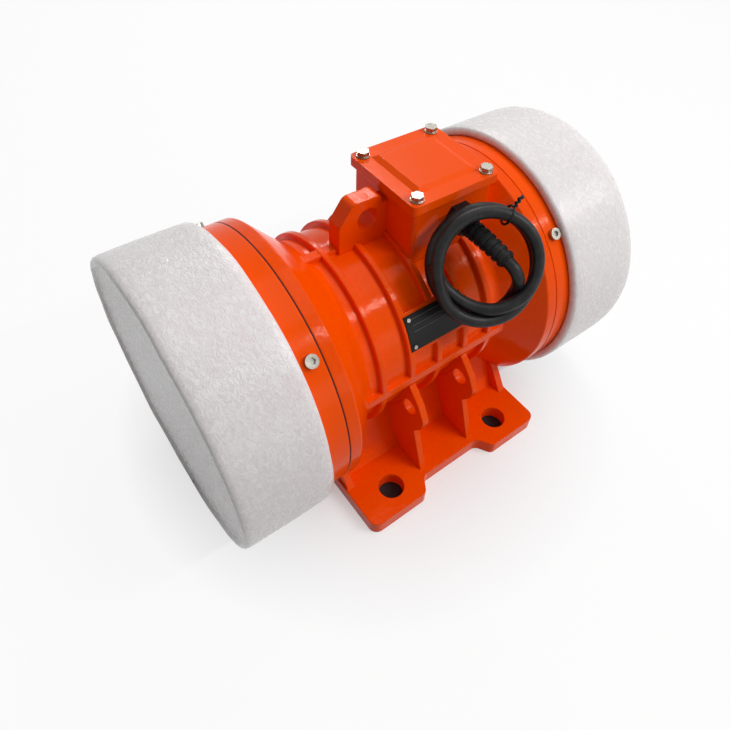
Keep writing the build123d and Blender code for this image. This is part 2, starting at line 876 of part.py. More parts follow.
cap_bolt_seats = [
    Plane(origin=(cap_face_x, y, shaft_height + z), x_dir=(0, 1, 0), z_dir=(1, 0, 0))
    for y, z in ring_positions(cap_bolt_count, cap_bolt_circle, start=45)
]
cap_bolts_right = bolt_group(
    cap_bolt_seats,
    cap_bolt_head_radius,
    cap_bolt_head_height,
    cap_bolt_radius,
    cap_bolt_length,
)

shaft_spacer_right = turned(
    [
        (bearing_end_x, shaft_end_radius + sliding_clearance),
        (bearing_end_x, spacer_radius),
        (fixed_weight_x, spacer_radius),
        (fixed_weight_x, shaft_end_radius + sliding_clearance),
    ]
)


def eccentric_weight(start_x, thickness, keyed):
    """A heavy half disc with a split hub that clamps on the shaft."""
    with BuildPart() as weight:
        with BuildSketch(end_plane(start_x)) as outline:
            Circle(weight_radius)
            with Locations((0, -weight_flat_drop)):
                Rectangle(
                    2 * weight_radius,
                    weight_radius + weight_flat_drop,
                    align=(Align.CENTER, Align.MIN),
                    mode=Mode.SUBTRACT,
                )
            fillet(outline.vertices(), weight_tip_radius)
            Circle(weight_hub_radius)
            Rectangle(clamp_width, clamp_height, align=(Align.CENTER, Align.MIN))
            Rectangle(
                clamp_slot,
                clamp_height,
                align=(Align.CENTER, Align.MIN),
                mode=Mode.SUBTRACT,
            )
            Circle(shaft_end_radius + sliding_clearance, mode=Mode.SUBTRACT)
            if keyed:
                with Locations((0, -shaft_end_radius)):
                    Rectangle(
                        key_width + 2 * sliding_clearance,
                        2 * (key_height - key_depth + bolt_clearance),
                        mode=Mode.SUBTRACT,
                    )
        extrude(amount=thickness)
        bolt_plane = Plane(
            origin=(start_x + thickness / 2, clamp_width / 2, shaft_height + clamp_bolt_height),
            x_dir=(1, 0, 0),
            z_dir=(0, 1, 0),
        )
        with BuildSketch(bolt_plane):
            Circle(clamp_bolt_radius + bolt_clearance)
        extrude(amount=-clamp_width, mode=Mode.SUBTRACT)
    return weight


def clamp_bolt(centre_x):
    """The bolt and nut that close a split hub."""
    centre_z = shaft_height + clamp_bolt_height
    head_plane = Plane(origin=(centre_x, clamp_width / 2, centre_z), x_dir=(1, 0, 0), z_dir=(0, 1, 0))
    nut_plane = Plane(origin=(centre_x, -clamp_width / 2, centre_z), x_dir=(1, 0, 0), z_dir=(0, -1, 0))
    with BuildPart() as fastener:
        with BuildSketch(head_plane, nut_plane):
            RegularPolygon(clamp_head_radius, 6, major_radius=False)
        extrude(amount=clamp_head_height)
        with BuildSketch(head_plane):
            Circle(clamp_bolt_radius)
        extrude(amount=-clamp_width)
    return fastener


fixed_weight_right = eccentric_weight(fixed_weight_x, fixed_weight_thickness, True)
adjustable_weight_right = eccentric_weight(adjustable_weight_x, adjustable_weight_thickness, False)
fixed_clamp_bolt_right = clamp_bolt(key_x)
adjustable_clamp_bolt_right = clamp_bolt(adjustable_weight_x + adjustable_weight_thickness / 2)

# Ring between the two weights, and the washer and bolt that hold them on the shaft
weight_spacer_right = turned(
    [
        (fixed_weight_x + fixed_weight_thickness, shaft_end_radius + sliding_clearance),
        (fixed_weight_x + fixed_weight_thickness, shaft_end_radius + weight_spacer_wall),
        (adjustable_weight_x - weight_gap, shaft_end_radius + weight_spacer_wall),
        (adjustable_weight_x - weight_gap, shaft_end_radius + sliding_clearance),
    ]
)
with BuildPart() as end_washer_right:
    with BuildSketch(end_plane(shaft_end_x)):
        Circle(end_washer_radius)
        Circle(end_bolt_radius + bolt_clearance, mode=Mode.SUBTRACT)
    extrude(amount=end_washer_thickness)
end_bolt_right = bolt_group(
    [end_plane(shaft_end_x + end_washer_thickness)],
    end_bolt_head_radius,
    end_bolt_head_height,
    end_bolt_radius,
    end_bolt_length,
)

# Pressed steel cover over the weights, with its seal and screws
cover_edge_x = flange_face_x + cover_seal_width
with BuildPart() as cover_right:
    with BuildSketch(Plane.XZ):
        with BuildLine():
            FilletPolyline(
                (cover_edge_x, shaft_height + cover_inner_radius),
                (cover_edge_x, shaft_height + flange_radius),
                (cover_end_x, shaft_height + flange_radius),
                (cover_end_x, shaft_height),
                (cover_end_x - cover_wall, shaft_height),
                (cover_end_x - cover_wall, shaft_height + cover_inner_radius),
                radius=[0, 0, cover_corner_radius, 0, 0, cover_corner_radius - cover_wall],
                close=True,
            )
        make_face()
    revolve(axis=shaft_axis)
    with BuildSketch(*screw_planes(cover_screw_x, flange_radius + 1)):
        Circle(cover_screw_radius + bolt_clearance)
    extrude(amount=-(cover_wall + 2), mode=Mode.SUBTRACT)

cover_seal_right = turned(
    [
        (flange_face_x, register_radius),
        (flange_face_x, register_radius + cover_seal_height),
        (cover_edge_x, register_radius + cover_seal_height),
        (cover_edge_x, register_radius),
    ]
)

with BuildPart() as cover_screws_right:
    head_seats = screw_planes(cover_screw_x, flange_radius)
    with BuildSketch(*head_seats):
        Circle(cover_screw_head_radius)
    extrude(amount=cover_screw_head_height)
    with BuildSketch(*head_seats):
        Circle(cover_screw_radius)
    extrude(amount=-cover_screw_length)
    socket_planes = screw_planes(cover_screw_x, flange_radius + cover_screw_head_height)
    with BuildSketch(*socket_planes):
        RegularPolygon(cover_socket_radius, 6, major_radius=False)
    extrude(amount=-cover_socket_depth, mode=Mode.SUBTRACT)

# Terminal box lid with its gasket, screws and washers
with BuildPart() as lid_gasket:
    with BuildSketch(Plane.XY.offset(shaft_height + box_top)):
        with Locations(box_centre):
            RectangleRounded(box_length, box_width, box_corner_radius)
            Rectangle(
                box_length - 2 * box_wall,
                box_width - 2 * box_wall,
                mode=Mode.SUBTRACT,
            )
            with GridLocations(lid_screw_spacing_x, lid_screw_spacing_y, 2, 2):
                Circle(lid_screw_radius + bolt_clearance, mode=Mode.SUBTRACT)
    extrude(amount=gasket_thickness)

with BuildPart() as terminal_lid:
    with BuildSketch(Plane.XY.offset(shaft_height + lid_bottom)):
        with Locations(box_centre):
            RectangleRounded(lid_length, lid_width, lid_corner_radius)
    extrude(amount=lid_thickness)
    with BuildSketch(Plane.XY.offset(shaft_height + lid_top)):
        with Locations(box_centre):
            Rectangle(panel_length, panel_width)
    extrude(amount=panel_height, taper=panel_taper)
    with BuildSketch(Plane.XY.offset(shaft_height + lid_bottom)):
        with Locations(box_centre):
            Rectangle(box_length - 2 * lid_recess_inset, box_width - 2 * lid_recess_inset)
    extrude(amount=lid_recess, mode=Mode.SUBTRACT)
    with BuildSketch(Plane.XY.offset(shaft_height + lid_bottom)):
        with Locations(box_centre):
            with GridLocations(lid_screw_spacing_x, lid_screw_spacing_y, 2, 2):
                Circle(lid_screw_radius + bolt_clearance)
    extrude(amount=lid_thickness, mode=Mode.SUBTRACT)

screw_x = [box_centre_x - lid_screw_spacing_x / 2, box_centre_x + lid_screw_spacing_x / 2]
screw_y = [-lid_screw_spacing_y / 2, lid_screw_spacing_y / 2]
screw_points = [(x, y) for x in screw_x for y in screw_y]
with BuildPart() as lid_washers:
    with BuildSketch(Plane.XY.offset(shaft_height + lid_top)):
        with Locations(*screw_points):
            Circle(lid_washer_radius)
            Circle(lid_screw_radius + bolt_clearance, mode=Mode.SUBTRACT)
    extrude(amount=lid_washer_thickness)
washer_top = shaft_height + lid_top + lid_washer_thickness
lid_screws = bolt_group(
    [Plane(origin=(x, y, washer_top)) for x, y in screw_points],
    lid_screw_head_radius,
    lid_screw_head_height,
    lid_screw_radius,
    lid_screw_length,
)

# Terminal block inside the box, with three brass studs
with BuildPart() as terminal_block:
    with BuildSketch(Plane.XY.offset(shaft_height + box_floor)):
        with Locations((block_x, 0)):
            Rectangle(block_length, block_width)
    extrude(amount=block_height)
    block_top = shaft_height + box_floor + block_height
    with BuildSketch(Plane.XY.offset(block_top)):
        with Locations((block_x - stud_pitch / 2, 0), (block_x + stud_pitch / 2, 0)):
            Rectangle(block_rib_width, block_width)
    extrude(amount=block_rib_height)
with BuildPart() as terminal_studs:
    with BuildSketch(Plane.XY.offset(block_top)):
        with Locations((block_x, 0)):
            with GridLocations(stud_pitch, 1, stud_count, 1):
                RegularPolygon(2 * stud_radius, 6, major_radius=False)
    extrude(amount=2 * stud_radius)
    with BuildSketch(Plane.XY.offset(block_top + 2 * stud_radius)):
        with Locations((block_x, 0)):
            with GridLocations(stud_pitch, 1, stud_count, 1):
                Circle(stud_radius)
    extrude(amount=stud_height - 2 * stud_radius)

# Cable gland on the front of the box, its cap nut and the ribbed sleeve
gland_z = shaft_height + gland_height
gland_face_y = -box_width / 2
gland_face = Plane(origin=(gland_x, gland_face_y, gland_z), x_dir=(1, 0, 0), z_dir=(0, -1, 0))
with BuildPart() as gland_body:
    with BuildSketch(gland_face):
        Circle(gland_thread_radius)
    extrude(amount=-gland_thread_length)
    with BuildSketch(gland_face):
        RegularPolygon(gland_hex_radius, 6, major_radius=False)
    extrude(amount=gland_hex_length)

nut_start_y = gland_face_y - gland_hex_length
nut_end_y = nut_start_y - gland_nut_length
with BuildPart() as gland_nut:
    with BuildSketch(Plane.YZ.offset(gland_x)):
        with BuildLine():
            FilletPolyline(
                (nut_start_y, gland_z),
                (nut_start_y, gland_z + gland_nut_radius),
                (nut_start_y - gland_nut_length / 2, gland_z + gland_nut_radius),
                (nut_end_y, gland_z + gland_nut_front_radius),
                (nut_end_y, gland_z),
                radius=[0, 0, gland_nut_fillet, 0, 0],
                close=True,
            )
        make_face()
    revolve(axis=Axis((gland_x, 0, gland_z), (0, -1, 0)))

sleeve_start = Vector(gland_x, nut_end_y, gland_z)
with BuildPart() as bend_sleeve:
    with BuildLine() as sleeve_path:
        TangentArc(sleeve_start, sleeve_end, tangent=(0, -1, 0))
    with BuildSketch(Plane(origin=sleeve_start, x_dir=(1, 0, 0), z_dir=(0, -1, 0))):
        Circle(sleeve_radius)
    sweep()
    for number in range(sleeve_ribs):
        place = (number + 0.5) / sleeve_ribs
        rib_plane = Plane(origin=sleeve_path.line @ place, z_dir=sleeve_path.line % place)
        with BuildSketch(rib_plane):
            Circle(sleeve_rib_radius - number * sleeve_rib_taper)
        extrude(amount=sleeve_rib_length / 2, both=True)

# Coil of cable, as one solid of its outer shape
coil_right = Vector(-coil_normal.Y, coil_normal.X, 0).normalized()
coil_up = coil_normal.cross(coil_right)
with BuildPart() as cable_coil:
    with BuildSketch(Plane(origin=coil_centre, x_dir=coil_right, z_dir=-coil_up)):
        with Locations((coil_radius, 0)):
            RectangleRounded(coil_thickness, coil_height, coil_corner_radius)
    revolve(axis=Axis(coil_centre, coil_normal))

# Wire tie round the coil, with its twisted tail
tie_angle = radians(tie_position)
tie_outwards = coil_right * cos(tie_angle) + coil_up * sin(tie_angle)
tie_along = coil_up * cos(tie_angle) - coil_right * sin(tie_angle)
tie_centre = coil_centre + tie_outwards * coil_radius
tie_inner_thickness = coil_thickness + 2 * tie_clearance
tie_inner_height = coil_height + 2 * tie_clearance
with BuildPart() as coil_tie:
    with BuildSketch(Plane(origin=tie_centre, x_dir=tie_outwards, z_dir=tie_along)):
        RectangleRounded(
            tie_inner_thickness + 2 * tie_thickness,
            tie_inner_height + 2 * tie_thickness,
            coil_corner_radius + tie_thickness,
        )
        RectangleRounded(
            tie_inner_thickness,
            tie_inner_height,
            coil_corner_radius,
            mode=Mode.SUBTRACT,
        )
    extrude(amount=tie_width / 2, both=True)
    tail_reach = coil_thickness / 2 + tie_clearance + tie_thickness / 2
    tail_plane = Plane(origin=tie_centre + tie_outwards * tail_reach, z_dir=tie_outwards + coil_normal)
    with BuildSketch(tail_plane):
        Circle(tie_tail_radius)
    extrude(amount=tie_tail_length)

# Cable from the sleeve to the coil, as straight runs joined by arcs
sleeve_exit = sleeve_path.line % 1
cable_points = [
    sleeve_end,
    sleeve_end + sleeve_exit * first_run,
    Vector(46.9, -101.3, 198.6),
    Vector(48.5, -102.2, 191.5),
    Vector(50.2, -100.4, 184.3),
    Vector(51.7, -98.2, 177.4),
]
cable_radii = []
for before, corner, after in zip(cable_points, cable_points[1:], cable_points[2:]):
    half_turn = radians((corner - before).get_angle(after - corner)) / 2
    shorter_run = min((corner - before).length, (after - corner).length)
    cable_radii.append(0.45 * shorter_run / tan(half_turn))
with BuildPart() as cable_lead:
    with BuildLine() as cable_path:
        FilletPolyline(*cable_points, radius=cable_radii)
    with BuildSketch(Plane(origin=sleeve_end, z_dir=sleeve_exit)):
        Circle(cable_radius)
    sweep()
cable_length = sum(edge.length for edge in cable_path.edges())
cable_volume = pi * cable_radius**2 * cable_length
print("cable length", round(cable_length, 1), "radii", [round(radius, 1) for radius in cable_radii])
print("cable volume against its section times its length", cable_lead.part.volume / cable_volume)

# Blank nameplate on the pad, and its four rivets
with BuildPart() as nameplate:
    with BuildSketch(end_plane(-plate_half_length)):
        add(arc_band(plate_radius, plate_radius + plate_thickness, plate_low_angle, plate_high_angle))
    extrude(amount=2 * plate_half_length)
    with BuildSketch(*rivet_seats):
        Circle(rivet_shank_radius)
    extrude(amount=-2 * plate_thickness, mode=Mode.SUBTRACT)

with BuildPart() as nameplate_rivets:
    with BuildSketch(*rivet_seats):
        Circle(rivet_radius)
    extrude(amount=rivet_height)
    with BuildSketch(*rivet_seats):
        Circle(rivet_shank_radius)
    extrude(amount=-rivet_depth)

# Foam sleeves over the weight covers, pressed flat below by the weight of the motor
foam_inner_radius = flange_radius + foam_clearance


def foam_sleeve(outline, direction):
    """A sleeve of foam from points of (distance along the shaft, radius)."""
    with BuildPart() as sleeve:
        add(turned([(direction * x, radius) for x, radius in outline]).part)
        with Locations((0, 0, foam_floor_gap)):
            Box(
                3 * foam_right_end,
                3 * foam_radius,
                foam_radius,
                align=(Align.CENTER, Align.CENTER, Align.MAX),
                mode=Mode.SUBTRACT,
            )
    return sleeve


foam_left = foam_sleeve(
    [
        (foam_left_start, foam_inner_radius),
        (foam_left_start, foam_radius),
        (foam_left_end - 1, foam_radius),
        (foam_left_end, foam_radius - 1),
        (foam_left_end, foam_inner_radius),
        (foam_start_x + foam_left_disc, foam_inner_radius),
        (foam_start_x + foam_left_disc, 0),
        (foam_start_x, 0),
        (foam_start_x, foam_inner_radius),
    ],
    -1,
)
foam_right = foam_sleeve(
    [
        (foam_right_start, foam_inner_radius),
        (foam_right_start, foam_radius),
        (foam_right_end - 2 * foam_edge_radius, foam_radius),
        (foam_right_end - foam_edge_radius, foam_radius - foam_edge_radius / 3),
        (foam_right_end - foam_edge_radius / 3, foam_radius - foam_edge_radius),
        (foam_right_end, foam_radius - 2 * foam_edge_radius),
        (foam_right_end, 0),
        (foam_start_x, 0),
        (foam_start_x, foam_inner_radius),
    ],
    1,
)

# Fasteners that are the same at both ends share one node
with BuildPart() as end_shield_bolts:
    add(shield_bolts_right.part)
    mirror(shield_bolts_right.part, about=Plane.YZ)
with BuildPart() as bearing_cap_bolts:
    add(cap_bolts_right.part)
    mirror(cap_bolts_right.part, about=Plane.YZ)
with BuildPart() as fixed_weight_bolts:
    add(fixed_clamp_bolt_right.part)
    mirror(fixed_clamp_bolt_right.part, about=Plane.YZ)
with BuildPart() as cover_screws:
    add(cover_screws_right.part)
    mirror(cover_screws_right.part, about=Plane.YZ)

single_pieces = {
    "housing": housing,
    "mounting_feet": mounting_feet,
    "lifting_lug": lifting_lug,
    "terminal_box": terminal_box,
    "stator_core": stator_core,
    "stator_winding": stator_winding,
    "rotor_core": rotor_core,
    "rotor_cage": rotor_cage,
    "shaft": shaft,
    "shaft_keys": shaft_keys,
    "end_shield_bolts": end_shield_bolts,
    "bearing_cap_bolts": bearing_cap_bolts,
    "fixed_weight_bolts": fixed_weight_bolts,
    "cover_screws": cover_screws,
    "lid_gasket": lid_gasket,
    "terminal_lid": terminal_lid,
    "lid_screws": lid_screws,
    "lid_washers": lid_washers,
    "terminal_block": terminal_block,
    "terminal_studs": terminal_studs,
    "gland_body": gland_body,
    "gland_nut": gland_nut,
    "bend_sleeve": bend_sleeve,
    "cable_lead": cable_lead,
    "cable_coil": cable_coil,
    "coil_tie": coil_tie,
    "nameplate": nameplate,
    "nameplate_rivets": nameplate_rivets,
    "foam_left": foam_left,
    "foam_right": foam_right,
}
paired_pieces = {
    "end_shield": end_shield_right,
    "bearing_cap": bearing_cap_right,
    "bearing_outer": bearing_outer_right,
    "bearing_inner": bearing_inner_right,
    "bearing_rollers": rollers_right,
    "roller_cage": roller_cage_right,
    "shaft_spacer": shaft_spacer_right,
    "weight_spacer": weight_spacer_right,
    "fixed_weight": fixed_weight_right,
    "adjustable_weight": adjustable_weight_right,
    "adjustable_weight_bolt": adjustable_clamp_bolt_right,
    "end_washer": end_washer_right,
    "end_bolt": end_bolt_right,
    "weight_cover": cover_right,
    "cover_seal": cover_seal_right,
}
pieces = dict(single_pieces)
for name, piece in paired_pieces.items():
    pieces[name + "_right"] = piece
    pieces[name + "_left"] = mirrored(piece)
for name, piece in pieces.items():
    piece.part.label = name
    export_step(piece.part, "parts/" + name + ".step")
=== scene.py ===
import math

import bmesh
import bpy
from mathutils import Matrix, Vector, noise


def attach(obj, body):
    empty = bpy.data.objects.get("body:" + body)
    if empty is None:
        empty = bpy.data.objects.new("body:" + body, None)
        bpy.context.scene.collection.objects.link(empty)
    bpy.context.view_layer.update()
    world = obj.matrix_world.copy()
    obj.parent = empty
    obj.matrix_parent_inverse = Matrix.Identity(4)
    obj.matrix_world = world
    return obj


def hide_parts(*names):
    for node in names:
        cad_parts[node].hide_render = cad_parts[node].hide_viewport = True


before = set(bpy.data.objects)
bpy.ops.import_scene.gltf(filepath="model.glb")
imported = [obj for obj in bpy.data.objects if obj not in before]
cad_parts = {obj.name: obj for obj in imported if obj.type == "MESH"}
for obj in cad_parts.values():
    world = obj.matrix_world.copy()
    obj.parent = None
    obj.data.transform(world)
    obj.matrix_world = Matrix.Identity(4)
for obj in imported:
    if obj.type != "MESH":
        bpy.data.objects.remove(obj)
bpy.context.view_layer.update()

# The same sizes as the CAD model, in metres
SHAFT_HEIGHT = 0.112
FOOT_HOLE = (0.060, 0.108, 0)
CABLE = 0.0095
COIL_CENTRE = Vector((0.0375, -0.0785, 0.1975))
COIL_NORMAL = Vector((-0.40, -0.74, 0.56)).normalized()
COIL_RIGHT = Vector((-COIL_NORMAL.y, COIL_NORMAL.x, 0)).normalized()
COIL_UP = COIL_NORMAL.cross(COIL_RIGHT)
SLEEVE_END = Vector((0.0450, -0.0910, 0.2050))
SLEEVE_EXIT = Vector((0.0956, -0.9594, -0.2629)).normalized()

# The foam sleeves' sizes in millimetres, as their outlines are
FOAM_BORE = 110.4
FOAM_LARGEST = 117.9
FOAM_FLOOR_GAP = 0.0005


# Camera at the photograph's place, with its framing set by the lens shift
yaw, pitch, roll = 0.75, -0.83, 0.11
view_axis = Vector((math.sin(yaw) * math.cos(pitch), math.cos(yaw) * math.cos(pitch), math.sin(pitch)))
level = Vector((math.cos(yaw), -math.sin(yaw), 0))
upright = level.cross(view_axis)
image_right = level * math.cos(roll) + upright * math.sin(roll)
image_up = upright * math.cos(roll) - level * math.sin(roll)
camera_data = bpy.data.cameras.new("photo_camera")
camera_data.lens = 30.863
camera_data.sensor_width = 36
camera_data.shift_x = -0.0602
camera_data.shift_y = -0.056
camera_data.clip_start = 0.01
camera = bpy.data.objects.new("photo_camera", camera_data)
camera.matrix_world = Matrix.Translation((-0.23574, -0.29634, 0.50086)) @ Matrix(
    (
        (image_right.x, image_up.x, -view_axis.x),
        (image_right.y, image_up.y, -view_axis.y),
        (image_right.z, image_up.z, -view_axis.z),
    )
).to_4x4()
bpy.context.collection.objects.link(camera)
bpy.context.scene.camera = camera


# The cable: out of the sleeve, down behind the lower turns, then round and round in a loose coil
def on_coil(angle, radius, forward):
    """A point of the coil from its angle in degrees, its radius and its height above the ring, in mm."""
    outwards = COIL_RIGHT * math.cos(math.radians(angle)) + COIL_UP * math.sin(math.radians(angle))
    return COIL_CENTRE + outwards * radius / 1000 + COIL_NORMAL * forward / 1000


def beside_coil(right, up, forward):
    """A point from its distances right of, above and in front of the coil's centre, in mm."""
    return COIL_CENTRE + (COIL_RIGHT * right + COIL_UP * up + COIL_NORMAL * forward) / 1000


def between(stations, place):
    """Values read from stations of (place, value, value) with smooth steps."""
    for (start, *low), (end, *high) in zip(stations, stations[1:]):
        if start <= place <= end:
            share = (place - start) / (end - start)
            share = share * share * (3 - 2 * share)
            return [a + (b - a) * share for a, b in zip(low, high)]
    return list(stations[-1][1:])


# Degrees turned from the start, radius and height above the ring, in mm
COIL_STATIONS = [
    (0, 37.0, -7.5),
    (45, 39.0, -9.0),
    (110, 39.0, -8.8),
    (180, 38.5, -6.0),
    (280, 38.0, -5.0),
    (330, 39.5, -3.0),
    (375, 42.0, 0.5),
    (430, 42.0, 5.5),
    (480, 38.0, 9.2),
    (560, 36.5, 6.0),
    (640, 37.0, 6.5),
    (700, 35.5, 8.0),
    (745, 33.0, 6.0),
    (790, 31.5, 1.0),
    (828, 35.5, 0.0),
    (852, 38.5, 0.0),
]
COIL_START = -55
COIL_STEP = 24
FIRST_TURNED = 56
LAST_TURNED = 850

# The smooth line runs inside its control points, so on the coil they stand wider by this much
widen = 1 / math.cos(math.radians(COIL_STEP / 2)) ** 2
cable_route = [
    SLEEVE_END,
    SLEEVE_END + SLEEVE_EXIT * 0.006,
    beside_coil(19.0, -7.5, 13.0),
    beside_coil(21.5, -13.0, 9.0),
    beside_coil(23.0, -18.0, 2.5),
    beside_coil(23.5, -23.5, -5.0),
    beside_coil(20.5, -31.5, -9.8),
    beside_coil(12.0, -38.0, -10.5),
    beside_coil(-1.0, -40.5, -9.5),
]
for turned in range(FIRST_TURNED, LAST_TURNED + 1, COIL_STEP):
    radius, forward = between(COIL_STATIONS, turned)
    cable_route.append(on_coil(COIL_START - turned, radius * widen, forward))


def spline_curve(name, points, diameter):
    """A tube on one smooth NURBS spline through its control points."""
    data = bpy.data.curves.new(name, "CURVE")
    data.dimensions = "3D"
    spline = data.splines.new("NURBS")
    spline.points.add(len(points) - 1)
    for control, point in zip(spline.points, points):
        control.co = (*point, 1)
    spline.order_u = 3
    spline.use_endpoint_u = True
    data.resolution_u = 10
    data.bevel_depth = diameter / 2
    data.bevel_resolution = 8
    data.use_fill_caps = True
    piece = bpy.data.objects.new(name, data)
    bpy.context.collection.objects.link(piece)
    return piece


def spline_length(points):
    """The length of the smooth line that the control points give."""
    bare = spline_curve("measure", points, 0)
    mesh = bpy.data.meshes.new_from_object(bare)
    spots = [vertex.co for vertex in mesh.vertices]
    total = sum((spots[a] - spots[b]).length for a, b in (edge.vertices for edge in mesh.edges))
    bpy.data.objects.remove(bare)
    bpy.data.meshes.remove(mesh)
    return total


cable = spline_curve("supply_cable", cable_route, CABLE)
cable_length = spline_length(cable_route)
print("cable length", round(cable_length, 4))


class Wire:
    """One socket of a shader tree, with Python's operators standing for Math nodes."""

    def __init__(self, tree, socket):
        self.tree = tree
        self.socket = socket

    def _math(self, operation, *values):
        return self.tree.node("ShaderNodeMath", {"operation": operation}, dict(enumerate(values)))

    def __add__(self, other):
        return self._math("ADD", self, other)

    def __sub__(self, other):
        return self._math("SUBTRACT", self, other)

    def __rsub__(self, other):
        return self._math("SUBTRACT", other, self)

    def __mul__(self, other):
        return self._math("MULTIPLY", self, other)

    def __truediv__(self, other):
        return self._math("DIVIDE", self, other)

    def above(self, edge):
        return self._math("GREATER_THAN", self, edge)

    def wrapped(self, period):
        return self._math("WRAP", self, period, 0.0)

    def clamped(self):
        return self.tree.node("ShaderNodeClamp", {}, {"Value": self})

    __radd__ = __add__
    __rmul__ = __mul__


class Shading:
    """A tree of shader nodes, with one method that makes them all."""

    def __init__(self, owner):
        owner.use_nodes = True
        self.owner = owner
        self.tree = owner.node_tree
        self.tree.nodes.clear()

    def node(self, kind, settings, values, result=0):
        made = self.tree.nodes.new(kind)
        for key, value in settings.items():
            if key != "stops":
                setattr(made, key, value)
                continue
            for stop, (place, level) in zip(made.color_ramp.elements, value):
                stop.position = place
                stop.color = (level, level, level, 1)
        for key, value in values.items():
            if isinstance(value, Wire):
                self.tree.links.new(value.socket, made.inputs[key])
            else:
                made.inputs[key].default_value = value
        return Wire(self, made.outputs[result]) if made.outputs else None

    def position(self):
        return self.node("ShaderNodeTexCoord", {}, {}, "Object")

    def noise(self, place, scale, detail=3, roughness=0.5, distortion=0.0):
        values = {"Scale": scale, "Detail": detail, "Roughness": roughness, "Distortion": distortion}
        return self.node("ShaderNodeTexNoise", {}, {"Vector": place, **values}, "Fac")

    def steps(self, value, *stops):
        return self.node("ShaderNodeValToRGB", {"stops": stops}, {"Fac": value})

    def mix(self, share, first, second):
        return self.node("ShaderNodeMix", {"data_type": "RGBA"}, {0: share, 6: first, 7: second}, 2)

    def axis(self, place, letter):
        return self.node("ShaderNodeSeparateXYZ", {}, {"Vector": place}, letter)

    def stretched(self, place, x, y, z):
        return self.node("ShaderNodeVectorMath", {"operation": "MULTIPLY"}, {0: place, 1: (x, y, z)})

    def bump(self, height, depth, strength=1.0, normal=None):
        values = {"Height": height, "Distance": depth, "Strength": strength}
        if normal is not None:
            values["Normal"] = normal
        return self.node("ShaderNodeBump", {}, values)

    def rounded_edges(self, radius):
        return self.node("ShaderNodeBevel", {"samples": 4}, {"Radius": radius})

    def surface(self, **values):
        sockets = {key.replace("_", " "): value for key, value in values.items()}
        shader = self.node("ShaderNodeBsdfPrincipled", {}, sockets)
        self.node("ShaderNodeOutputMaterial", {}, {"Surface": shader})
        return self.owner

    def seen_or_mirrored(self):
        """One where the camera looks straight at the surface or sees it in metal or glass, else nought."""
        camera_ray = self.node("ShaderNodeLightPath", {}, {}, "Is Camera Ray")
        glossy_ray = self.node("ShaderNodeLightPath", {}, {}, "Is Glossy Ray")
        glass_ray = self.node("ShaderNodeLightPath", {}, {}, "Is Transmission Ray")
        return (camera_ray + glossy_ray + glass_ray).clamped()


def new_finish(name):
    return Shading(bpy.data.materials.new(name))


def colour(red, green, blue):
    """A shader colour from the red, green and blue of a screen, 0 to 255."""

    def linear(level):
        level = level / 255
        return level / 12.92 if level <= 0.04045 else ((level + 0.055) / 1.055) ** 2.4

    return (linear(red), linear(green), linear(blue), 1)


def cast_enamel():
    """Thick orange enamel over sand-cast iron."""
    paint = new_finish("orange_enamel_on_casting")
    place = paint.position()
    lumps = paint.noise(place, 55, 2)
    pebbles = paint.noise(place, 300, 2, 0.55)
    grain = paint.noise(place, 900, 2, 0.6)
    height = lumps * 0.7 + pebbles * 0.13 + grain * 0.02
    body = paint.mix(paint.noise(place, 9, 3), colour(250, 84, 0), colour(240, 72, 0))
    body = paint.mix(paint.steps(pebbles, (0.35, 0.0), (0.75, 0.2)), body, colour(218, 54, 0))
    return paint.surface(
        Base_Color=body,
        Roughness=paint.steps(grain, (0.2, 0.12), (0.8, 0.2)),
        IOR=1.4,
        Specular_IOR_Level=0.14,
        Specular_Tint=(1, 0.82, 0.7, 1),
        Normal=paint.bump(height, 0.0013, 0.6, paint.rounded_edges(0.0014)),
    )


def sheet_enamel():
    """Orange enamel on pressed steel, smoother than on the casting."""
    paint = new_finish("orange_enamel_on_steel")
    place = paint.position()
    peel = paint.noise(place, 320, 2, 0.5)
    waves = paint.noise(place, 25, 2)
    body = paint.mix(paint.noise(place, 7, 3), colour(252, 86, 0), colour(244, 76, 0))
    return paint.surface(
        Base_Color=body,
        Roughness=paint.steps(peel, (0.2, 0.12), (0.8, 0.2)),
        IOR=1.4,
        Specular_IOR_Level=0.14,
        Specular_Tint=(1, 0.82, 0.7, 1),
        Normal=paint.bump(peel * 0.2 + waves * 0.8, 0.0006, 0.4, paint.rounded_edges(0.0008)),
    )


def metal(name, bright, dark, roughness, scratch=900, stretch=(1, 1, 1)):
    """Bare or plated metal with fine turning marks."""
    made = new_finish(name)
    place = made.stretched(made.position(), *stretch)
    marks = made.noise(place, scratch, 3, 0.6)
    stain = made.noise(place, 90, 3, 0.6)
    shade = made.mix(made.steps(stain, (0.35, 0), (0.7, 1)), bright, dark)
    return made.surface(
        Base_Color=shade,
        Metallic=1.0,
        Roughness=made.steps(marks, (0.2, roughness * 0.75), (0.8, roughness * 1.3)),
        Normal=made.bump(marks, 0.00008, 0.4, made.rounded_edges(0.0003)),
    )


def black_rubber(name, level, roughness, grain=700):
    """Black rubber or plastic with a slight bloom."""
    made = new_finish(name)
    place = made.position()
    dust = made.noise(place, 140, 4, 0.6)
    fine = made.noise(place, grain, 2)
    bloom = colour(level + 22, level + 22, level + 22)
    shade = made.mix(made.steps(dust, (0.4, 0), (0.8, 1)), colour(level, level, level + 1), bloom)
    return made.surface(
        Base_Color=shade,
        Roughness=made.steps(fine, (0.2, roughness * 0.85), (0.8, roughness * 1.15)),
        Specular_IOR_Level=0.22,
        Normal=made.bump(fine, 0.00012, 0.5),
    )


